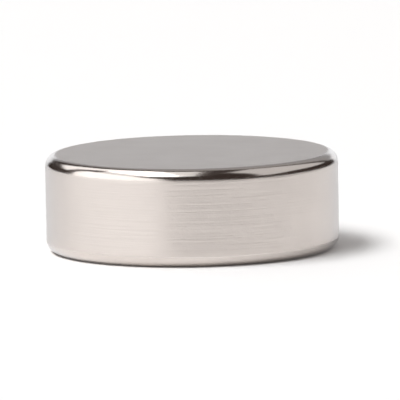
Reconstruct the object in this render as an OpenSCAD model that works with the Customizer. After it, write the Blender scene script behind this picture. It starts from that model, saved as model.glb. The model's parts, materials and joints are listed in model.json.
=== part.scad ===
// Disc magnet: a sintered disc, ground round, cut to height and tumbled, so
// that both of its rims are rounded. One solid, with no hole and no step.
// Millimetres. It lies on its bottom face, centred on the Z axis.

/* [Disc] */
// Diameter over the plating
disc_d = 3; // [1:0.1:20]
// Height between the two faces, over the plating
disc_h = 1; // [0.5:0.1:10]

/* [Rims] */
// Radius that tumbling gave the rim of the top face
top_rim_r = 0.12; // [0.02:0.01:0.24]
// Radius that tumbling gave the rim of the bottom face
bottom_rim_r = 0.12; // [0.02:0.01:0.24]

/* [Hidden] */
disc_r = disc_d / 2;
// Smooth enough to preview; every round form is a true curve
$fn = 180;

// One rim's quarter round: a circle whose centre lies its own radius in from
// the wall, at height z
module rim_circle(rim_r, z) {
    translate([disc_r - rim_r, z])
        circle(r = rim_r);
}

// Half of the disc's section, in the plane that turns about the Z axis. The
// wall runs straight between the two rims, and each face runs flat up to its
// rim, so that all of them meet on tangents.
module half_section() {
    wall_h = disc_h - bottom_rim_r - top_rim_r;
    mid_z = bottom_rim_r + wall_h / 2;

    translate([0, bottom_rim_r])
        square([disc_r, wall_h]);
    square([disc_r - bottom_rim_r, mid_z]);
    translate([0, mid_z])
        square([disc_r - top_rim_r, disc_h - mid_z]);
    rim_circle(bottom_rim_r, bottom_rim_r);
    rim_circle(top_rim_r, disc_h - top_rim_r);
}

module disc_magnet() {
    color("silver")
        rotate_extrude()
            half_section();
}

disc_magnet();
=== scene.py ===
"""Looks of the disc magnet: a sintered disc, ground, tumbled and nickel plated.

Its mesh is the disc's own half section, turned about Z by a Geometry Nodes tree. It lies on
a matt white table under a softbox, between the plain cards of a small dim studio.
"""

import json
import math

import bpy
from mathutils import Matrix, Vector


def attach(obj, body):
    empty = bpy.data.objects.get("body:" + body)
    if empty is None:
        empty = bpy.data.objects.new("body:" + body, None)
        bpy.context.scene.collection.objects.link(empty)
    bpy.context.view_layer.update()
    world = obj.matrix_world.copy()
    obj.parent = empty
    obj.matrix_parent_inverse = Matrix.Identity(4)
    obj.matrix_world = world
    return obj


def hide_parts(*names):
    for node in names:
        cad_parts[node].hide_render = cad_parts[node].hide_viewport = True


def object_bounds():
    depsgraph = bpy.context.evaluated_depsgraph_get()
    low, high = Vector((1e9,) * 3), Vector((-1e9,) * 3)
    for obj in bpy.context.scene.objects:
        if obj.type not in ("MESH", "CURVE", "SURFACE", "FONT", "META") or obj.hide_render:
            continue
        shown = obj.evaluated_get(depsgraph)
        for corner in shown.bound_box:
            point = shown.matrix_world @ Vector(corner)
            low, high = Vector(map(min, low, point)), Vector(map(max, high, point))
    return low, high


MM = 1e-3
MICRON = 1e-6

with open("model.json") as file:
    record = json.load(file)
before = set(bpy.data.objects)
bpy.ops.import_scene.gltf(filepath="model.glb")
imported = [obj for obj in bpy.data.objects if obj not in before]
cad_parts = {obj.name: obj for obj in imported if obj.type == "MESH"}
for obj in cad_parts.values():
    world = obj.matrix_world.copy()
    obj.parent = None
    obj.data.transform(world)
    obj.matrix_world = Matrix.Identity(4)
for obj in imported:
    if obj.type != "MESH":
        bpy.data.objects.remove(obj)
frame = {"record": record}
cad_low, cad_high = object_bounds()

# The mount on the wall gives its radius and its straight length. What that length leaves
# of the height is the two rims.
mounts = {mount["name"]: mount for mount in frame["record"]["mounts"]}
wall = mounts["outer_wall"]["dims"]
disc_r = wall["r_mm"] * MM
disc_h = cad_high.z - cad_low.z
rim_r = (disc_h - wall["length_mm"] * MM) / 2


# ------------------------------------------------------------------------------- helpers

def linear(hex_colour):
    """The linear RGBA of an sRGB colour written as #RRGGBB."""
    levels = [int(hex_colour[at:at + 2], 16) / 255 for at in (1, 3, 5)]
    return (*(v / 12.92 if v <= 0.04045 else ((v + 0.055) / 1.055) ** 2.4 for v in levels), 1)


def add(tree, kind, *values, sockets=None, out=0, **settings):
    """Adds a node, and returns its output out, or a list of outputs if out is a slice.

    values fill its inputs in order, and sockets fills them by name or number. Each is a
    plain value, or the output of another node, which is linked.
    """
    node = tree.nodes.new(kind)
    for name, value in settings.items():
        setattr(node, name, value)
    for key, value in [*enumerate(values), *(sockets or {}).items()]:
        if isinstance(value, bpy.types.NodeSocket):
            tree.links.new(value, node.inputs[key])
        else:
            node.inputs[key].default_value = value
    return node.outputs[out] if node.outputs else None


def new_material(name):
    """An empty material and its node tree."""
    material = bpy.data.materials.new(name)
    material.use_nodes = True
    material.node_tree.nodes.clear()
    return material, material.node_tree


def link_object(name, data):
    """A new object at the origin, in the scene."""
    thing = bpy.data.objects.new(name, data)
    bpy.context.scene.collection.objects.link(thing)
    return thing


# ------------------------------------------------------------------------ nickel plating

def wall_and_face_masks(tree, place):
    """1 on the wall, and 1 on the flat faces. Both fade out over the start of a rim."""
    x, y, z = add(tree, "ShaderNodeSeparateXYZ", place, out=slice(0, 3))
    fade = 0.35 * rim_r

    wall_end = disc_h / 2 - rim_r
    off_middle = add(tree, "ShaderNodeMath", z, disc_h / 2, operation="SUBTRACT")
    off_middle = add(tree, "ShaderNodeMath", off_middle, operation="ABSOLUTE")
    on_wall = add(
        tree, "ShaderNodeMapRange", off_middle, wall_end, wall_end + fade, 1.0, 0.0,
        interpolation_type="SMOOTHSTEP",
    )

    face_end = disc_r - rim_r
    level = add(tree, "ShaderNodeCombineXYZ", x, y)
    off_axis = add(tree, "ShaderNodeVectorMath", level, operation="LENGTH", out="Value")
    on_face = add(
        tree, "ShaderNodeMapRange", off_axis, face_end, face_end + fade, 1.0, 0.0,
        interpolation_type="SMOOTHSTEP",
    )
    return on_wall, on_face


def lines_and_grain(tree, place, on_wall):
    """The normal, bumped by level grinding lines on the wall and by grain all over."""
    # Real grinding lines lie 2 to 5 microns apart. These are 22 apart, so that they show.
    line_gap, line_length, line_depth = 22 * MICRON, 1000 * MICRON, 1.6 * MICRON
    drawn_out = add(
        tree, "ShaderNodeMapping",
        sockets={"Vector": place, "Scale": (1 / line_length, 1 / line_length, 1 / line_gap)},
    )
    lines = add(
        tree, "ShaderNodeTexNoise",
        sockets={"Vector": drawn_out, "Scale": 1.0, "Detail": 3.0, "Roughness": 0.6},
    )
    # The grain that tumbling leaves is about 5 microns across, and drawn as 16
    grain_size, grain_depth = 16 * MICRON, 0.35 * MICRON
    grain = add(
        tree, "ShaderNodeTexNoise",
        sockets={"Vector": place, "Scale": 1 / grain_size, "Detail": 2.0, "Roughness": 0.5},
    )
    depth_here = add(tree, "ShaderNodeMath", on_wall, line_depth, operation="MULTIPLY")
    relief = add(tree, "ShaderNodeMath", grain, grain_depth, operation="MULTIPLY")
    relief = add(tree, "ShaderNodeMath", lines, depth_here, relief, operation="MULTIPLY_ADD")
    # The relief is in metres already
    return add(tree, "ShaderNodeBump", sockets={"Height": relief, "Distance": 1.0})


def satin_nickel_plate():
    """Bright nickel, plated over a ground wall and over tumbled rims and faces.

    To the eye it is a pale, warm mirror with a satin blur. The wall keeps faint level lines
    from centreless grinding. The rims are the smoothest, burnished by the tumbling stones,
    and the faces are the dullest, with a fine, even grain.
    """
    material, tree = new_material("satin_nickel_plate")
    place = add(tree, "ShaderNodeTexCoord", out="Object")
    on_wall, on_face = wall_and_face_masks(tree, place)
    normal = lines_and_grain(tree, place, on_wall)

    # The plating bath leaves faint clouds, a little duller and darker. Inputs 6 and 7 of the
    # Mix node are its two colours, and its output 2 is their mixture.
    cloud_size, cloud_rough = 0.3 * MM, 0.08
    cloud = add(
        tree, "ShaderNodeTexNoise",
        sockets={"Vector": place, "Scale": 1 / cloud_size, "Detail": 3.0, "Roughness": 0.6},
    )
    colour = add(
        tree, "ShaderNodeMix",
        sockets={"Factor": cloud, 6: linear("#DFD7D1"), 7: linear("#D9D1CC")},
        data_type="RGBA", out=2,
    )
    rim_rough, wall_rough, face_rough = 0.16, 0.30, 0.38
    more_on_wall, more_on_face = wall_rough - rim_rough, face_rough - rim_rough
    rough = add(
        tree, "ShaderNodeMath", on_wall, more_on_wall, rim_rough, operation="MULTIPLY_ADD"
    )
    rough = add(
        tree, "ShaderNodeMath", on_face, more_on_face, rough, operation="MULTIPLY_ADD"
    )
    off_mean = add(tree, "ShaderNodeMath", cloud, 0.5, operation="SUBTRACT")
    rough = add(
        tree, "ShaderNodeMath", off_mean, cloud_rough, rough, operation="MULTIPLY_ADD"
    )
    shader = add(
        tree, "ShaderNodeBsdfPrincipled",
        sockets={
            "Base Color": colour, "Metallic": 1.0, "Roughness": rough, "Normal": normal,
            # At a grazing angle real nickel stays this far short of a full mirror
            "Specular Tint": linear("#E9EDF1"),
        },
    )
    add(tree, "ShaderNodeOutputMaterial", shader)
    return material


# ------------------------------------------------------------------------------ the disc

DISC_SIZES = {
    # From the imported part
    "Radius": disc_r,
    "Height": disc_h,
    "Rim radius": rim_r,
    # Cells from edge to edge of a face, over one rim, and up the wall
    "Cells across": 160,
    "Cells over rim": 12,
    "Cells up wall": 36,
    # The plating's shallow waves
    "Wave depth": 1.2 * MICRON,
    "Wave length": 170 * MICRON,
    # How far tumbling let the rims wander, and over what length
    "Wander depth": 5 * MICRON,
    "Wander length": 650 * MICRON,
    "Seed": 3.0,
}


def rounded_section(tree, size):
    """The disc's half section, from the top's centre out to the wall, down it and back in.

    Of its four points only those numbered 1 and 2, at the wall, are rounded.
    """
    top_centre = add(tree, "ShaderNodeCombineXYZ", 0.0, 0.0, size["Height"])
    top_corner = add(tree, "ShaderNodeCombineXYZ", size["Radius"], 0.0, size["Height"])
    low_corner = add(tree, "ShaderNodeCombineXYZ", size["Radius"])
    sharp = add(
        tree, "GeometryNodeCurvePrimitiveQuadrilateral",
        sockets={"Point 1": top_centre, "Point 2": top_corner, "Point 3": low_corner,
                 "Point 4": (0, 0, 0)},
        mode="POINTS",
    )
    number = add(tree, "GeometryNodeInputIndex")
    middle_number = 1.5
    from_wall = add(tree, "ShaderNodeMath", number, middle_number, operation="SUBTRACT")
    from_wall = add(tree, "ShaderNodeMath", from_wall, operation="ABSOLUTE")
    rounded = add(tree, "ShaderNodeMath", from_wall, 1.0, operation="LESS_THAN")
    corner_r = add(
        tree, "ShaderNodeMath", rounded, size["Rim radius"], operation="MULTIPLY"
    )
    # Finer than the mesh is over a rim, so that the mesh takes a true arc from it
    arc_points = 64
    return add(
        tree, "GeometryNodeFilletCurve",
        sockets={"Curve": sharp, "Count": arc_points, "Radius": corner_r},
        mode="POLY",
    )


def length_along_section(tree, size, ring, z):
    """How far along the section a point of the box belongs, from the top's centre."""
    flat = add(
        tree, "ShaderNodeMath", size["Radius"], size["Rim radius"], operation="SUBTRACT"
    )
    arc = add(tree, "ShaderNodeMath", size["Rim radius"], math.pi / 2, operation="MULTIPLY")
    rim_part = add(
        tree, "ShaderNodeMath", size["Cells over rim"], size["Cells across"],
        operation="DIVIDE",
    )
    rim_start = add(tree, "ShaderNodeMath", rim_part, -2.0, 1.0, operation="MULTIPLY_ADD")
    over_flat = add(tree, "ShaderNodeMapRange", ring, 0.0, rim_start, 0.0, flat)
    over_rim = add(tree, "ShaderNodeMapRange", ring, rim_start, 1.0, 0.0, arc)
    from_centre = add(tree, "ShaderNodeMath", over_flat, over_rim, operation="ADD")

    # The section's middle is the wall's, where z is 0. It is 1 on top and -1 below.
    half_height = add(tree, "ShaderNodeMath", size["Height"], 0.5, operation="MULTIPLY")
    half_wall = add(
        tree, "ShaderNodeMath", half_height, size["Rim radius"], operation="SUBTRACT"
    )
    half_length = add(tree, "ShaderNodeMath", flat, arc, operation="ADD")
    half_length = add(tree, "ShaderNodeMath", half_length, half_wall, operation="ADD")
    to_middle = add(tree, "ShaderNodeMath", half_length, from_centre, operation="SUBTRACT")
    to_middle = add(tree, "ShaderNodeMath", to_middle, z, operation="MULTIPLY")
    return add(tree, "ShaderNodeMath", half_length, to_middle, operation="SUBTRACT")


def place_on_disc(tree, size, section):
    """Where each point of the box goes: to its place on the section, turned about Z."""
    cell = add(tree, "GeometryNodeInputPosition")
    x, y, z = add(tree, "ShaderNodeSeparateXYZ", cell, out=slice(0, 3))
    x_size = add(tree, "ShaderNodeMath", x, operation="ABSOLUTE")
    y_size = add(tree, "ShaderNodeMath", y, operation="ABSOLUTE")
    ring = add(tree, "ShaderNodeMath", x_size, y_size, operation="MAXIMUM")
    along = length_along_section(tree, size, ring, z)
    spot = add(
        tree, "GeometryNodeSampleCurve", sockets={"Curves": section, "Length": along},
        mode="LENGTH", out="Position",
    )
    radius, _, height = add(tree, "ShaderNodeSeparateXYZ", spot, out=slice(0, 3))

    # Equal steps along a square ring become equal angles about Z
    turn = add(tree, "ShaderNodeMath", math.pi / 4, ring, operation="DIVIDE")
    level = add(tree, "ShaderNodeCombineXYZ", x, y)
    level = add(
        tree, "ShaderNodeVectorMath", level, sockets={"Scale": turn}, operation="SCALE"
    )
    outward = add(tree, "ShaderNodeVectorMath", level, operation="TANGENT")
    outward = add(tree, "ShaderNodeVectorMath", outward, operation="NORMALIZE")
    outward = add(
        tree, "ShaderNodeVectorMath", outward, sockets={"Scale": radius}, operation="SCALE"
    )
    upward = add(tree, "ShaderNodeCombineXYZ", 0.0, 0.0, height)
    return add(tree, "ShaderNodeVectorMath", outward, upward, operation="ADD")


def waves_and_wander(tree, size):
    """How far each point is moved along its normal, as a vector."""
    position = add(tree, "GeometryNodeInputPosition")
    normal = add(tree, "GeometryNodeInputNormal")

    # A rim wanders most where it slopes at 45 degrees. The wall and the faces don't.
    # At 45 degrees the product below is 1/4, and four times it is 1.
    lift = add(tree, "ShaderNodeSeparateXYZ", normal, out="Z")
    lift = add(tree, "ShaderNodeMath", lift, lift, operation="MULTIPLY")
    rest = add(tree, "ShaderNodeMath", 1.0, lift, operation="SUBTRACT")
    slope = add(tree, "ShaderNodeMath", lift, rest, operation="MULTIPLY")
    slope = add(tree, "ShaderNodeMath", slope, 4.0, operation="MULTIPLY")
    wander_depth = add(
        tree, "ShaderNodeMath", slope, size["Wander depth"], operation="MULTIPLY"
    )

    depth = 0.0
    for full_depth, length in (
        (size["Wave depth"], size["Wave length"]),
        (wander_depth, size["Wander length"]),
    ):
        scale = add(tree, "ShaderNodeMath", 1.0, length, operation="DIVIDE")
        noise = add(
            tree, "ShaderNodeTexNoise",
            sockets={"Vector": position, "W": size["Seed"], "Scale": scale, "Detail": 1.0},
            noise_dimensions="4D",
        )
        noise = add(tree, "ShaderNodeMath", noise, 0.5, operation="SUBTRACT")
        depth = add(
            tree, "ShaderNodeMath", noise, full_depth, depth, operation="MULTIPLY_ADD"
        )
    return add(
        tree, "ShaderNodeVectorMath", normal, sockets={"Scale": depth}, operation="SCALE"
    )


def turned_disc_tree(material):
    """A half section with two rounded corners, turned about Z.

    The mesh starts as a box of even cells from -1 to 1, so the disc has no pole and no
    seam. Each square ring of the box becomes a round one, whose radius and height come from
    the section at the ring's own length along it.
    """
    tree = bpy.data.node_groups.new("turned_disc", "GeometryNodeTree")
    for name, value in DISC_SIZES.items():
        kind = "NodeSocketInt" if isinstance(value, int) else "NodeSocketFloat"
        tree.interface.new_socket(name, in_out="INPUT", socket_type=kind)
    tree.interface.new_socket("Disc", in_out="OUTPUT", socket_type="NodeSocketGeometry")
    size = dict(zip(DISC_SIZES, add(tree, "NodeGroupInput", out=slice(0, len(DISC_SIZES)))))

    # A count of points is one more than the count of cells between them
    across = add(tree, "ShaderNodeMath", size["Cells across"], 1.0, operation="ADD")
    up = add(tree, "ShaderNodeMath", size["Cells up wall"], 1.0, operation="ADD")
    box = add(tree, "GeometryNodeMeshCube", (2, 2, 2), across, across, up)
    place = place_on_disc(tree, size, rounded_section(tree, size))
    disc = add(tree, "GeometryNodeSetPosition", sockets={"Geometry": box, "Position": place})
    offset = waves_and_wander(tree, size)
    disc = add(tree, "GeometryNodeSetPosition", sockets={"Geometry": disc, "Offset": offset})

    disc = add(tree, "GeometryNodeSetShadeSmooth", disc)
    disc = add(tree, "GeometryNodeRealizeInstances", disc)
    disc = add(
        tree, "GeometryNodeSetMaterial", sockets={"Geometry": disc, "Material": material}
    )
    add(tree, "NodeGroupOutput", disc)
    return tree


def nickel_plated_disc():
    """The disc as a plain mesh, which stands for the node disc_magnet."""
    tree = turned_disc_tree(satin_nickel_plate())
    host = link_object("disc_host", bpy.data.meshes.new("disc_host"))
    turning = host.modifiers.new("turning", "NODES")
    turning.node_group = tree
    for socket in tree.interface.items_tree:
        if socket.in_out == "INPUT":
            turning[socket.identifier] = DISC_SIZES[socket.name]
    evaluated = bpy.context.evaluated_depsgraph_get()
    mesh = bpy.data.meshes.new_from_object(host.evaluated_get(evaluated), depsgraph=evaluated)
    bpy.data.objects.remove(host)
    disc = link_object("nickel_plated_disc", mesh)
    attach(disc, "root")
    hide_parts("disc_magnet")


# -------------------------------------------------------------------------------- studio

# Height of the softbox over the table. The panels' places and sizes are given in it.
STUDIO_H = 0.6
DOWN, TO_RIGHT, TO_LEFT, TO_FRONT = (0, 0, -1), (1, 0, 0), (-1, 0, 0), (0, -1, 0)


def white_table():
    """Matt white laminate, so even that nothing shows on it but the disc's shade.

    As in a picture exposed for white, the camera and the mirrors see it a little brighter
    than the lamps make it.
    """
    material, tree = new_material("matt_white_laminate")
    laminate = add(tree, "ShaderNodeBsdfDiffuse", linear("#FBFBFB"))
    ray_kinds = add(tree, "ShaderNodeLightPath", out=slice(0, 7))
    camera_ray, _, _, glossy_ray, _, _, transmission_ray = ray_kinds
    seen = add(tree, "ShaderNodeMath", camera_ray, glossy_ray, operation="MAXIMUM")
    seen = add(tree, "ShaderNodeMath", seen, transmission_ray, operation="MAXIMUM")
    extra_white = 0.03
    glow = add(tree, "ShaderNodeMath", seen, extra_white, operation="MULTIPLY")
    glow = add(tree, "ShaderNodeEmission", sockets={"Strength": glow})
    shader = add(tree, "ShaderNodeAddShader", laminate, glow)
    add(tree, "ShaderNodeOutputMaterial", shader)

    half = STUDIO_H
    # A little below the disc, so that the two flat faces don't fight
    below = -2 * MICRON
    edges = [(-half, -half), (half, -half), (half, half), (-half, half)]
    mesh = bpy.data.meshes.new("table")
    mesh.from_pydata([(x, y, below) for x, y in edges], [], [(0, 1, 2, 3)])
    mesh.materials.append(material)
    link_object("table", mesh)


def soft_panel(
    name, centre, facing, width, height, brightness, on_table=True, in_mirrors=True
):
    """An evenly lit rectangle. One of brightness 1 shows as white in a mirror.

    It can be kept from lighting the table, or from showing in mirrors.
    """
    data = bpy.data.lights.new(name, "AREA")
    data.shape = "RECTANGLE"
    data.size = width * STUDIO_H
    data.size_y = height * STUDIO_H
    data.energy = brightness * math.pi * data.size * data.size_y
    lamp = link_object(name, data)
    lamp.visible_diffuse = on_table
    lamp.visible_glossy = in_mirrors
    lamp.location = Vector(centre) * STUDIO_H
    lamp.rotation_euler = Vector(facing).to_track_quat("-Z", "Y").to_euler()


def studio_lights():
    """A softbox overhead, and the cards and the backdrop that hidden lamps light."""
    # The lamp casts the shade. The larger cloth below it draws the white line along the left
    # of the rim, and is dim enough that the top doesn't burn out from the far right. The two
    # lie apart, as one would hide the other.
    soft_panel(
        "softbox_lamp", centre=(-0.51, -0.41, 1.01), facing=DOWN,
        width=0.42, height=1.15, brightness=8.2, in_mirrors=False,
    )
    soft_panel(
        "softbox_cloth", centre=(-0.46, -0.32, 1.0), facing=DOWN,
        width=0.52, height=1.33, brightness=2.3, on_table=False,
    )
    # Makes the left of the wall the palest, and the ceiling card carries it on overhead.
    # It stands so low that on the table it would draw a second, longer shade.
    soft_panel(
        "left_card", centre=(-1.2, -1.27, 0.51), facing=TO_RIGHT,
        width=3.37, height=1.02, brightness=1.57, on_table=False,
    )
    soft_panel(
        "ceiling_card", centre=(-0.57, -0.35, 1.02), facing=DOWN,
        width=1.26, height=1.09, brightness=0.96,
    )
    # Draws the pale line along the right of the rim, and lightens the shade. It hangs high, so
    # that the rim mirrors the dim room between its low edge and the table.
    soft_panel(
        "right_card", centre=(1.2, 0.26, 2.06), facing=TO_LEFT,
        width=2.04, height=3.08, brightness=0.65,
    )
    # What the top face mirrors: pale near the table, and dim above
    soft_panel(
        "backdrop", centre=(0.07, 1.4, 0.17), facing=TO_FRONT,
        width=1.25, height=0.34, brightness=1.18,
    )
    soft_panel(
        "backdrop_glow", centre=(0.28, 1.4, 1.86), facing=TO_FRONT,
        width=1.33, height=3.04, brightness=0.34,
    )
    # Draws the pale line round the left end of the rim
    soft_panel(
        "back_left_card", centre=(-1.54, 1.4, 2.37), facing=TO_FRONT,
        width=1.4, height=3.1, brightness=1.38,
    )


def dim_room():
    """What lies between and behind the panels: the front of the room is unlit."""
    world = bpy.data.worlds.new("dim_room")
    bpy.context.scene.world = world
    world.use_nodes = True
    world.node_tree.nodes.clear()
    room = add(world.node_tree, "ShaderNodeBackground", linear("#3B322E"))
    add(world.node_tree, "ShaderNodeOutputWorld", room)


def camera():
    """A long lens a little above the table, square to the disc."""
    elevation = math.radians(7.4)
    # The disc is seen not quite level
    roll = math.radians(1.0)
    half_field = math.radians(1.1)
    # Half of what the picture takes in from side to side
    half_width = 2.05 * MM
    distance = half_width / math.tan(half_field)
    # Aimed a little to the right of the disc, to leave room for its shade
    aim = Vector((0.08 * MM, 0, disc_h / 2))

    data = bpy.data.cameras.new("camera")
    data.lens = data.sensor_width / 2 / math.tan(half_field)
    data.clip_start = 0.1 * distance
    data.clip_end = 10 * distance
    taker = link_object("camera", data)
    away = Vector((0, -math.cos(elevation), math.sin(elevation)))
    turn = away.to_track_quat("Z", "Y").to_matrix() @ Matrix.Rotation(-roll, 3, "Z")
    taker.location = aim + away * distance
    taker.rotation_euler = turn.to_euler()
    bpy.context.scene.camera = taker


nickel_plated_disc()
white_table()
studio_lights()
dim_room()
camera()
bpy.context.scene.view_settings.view_transform = "Standard"
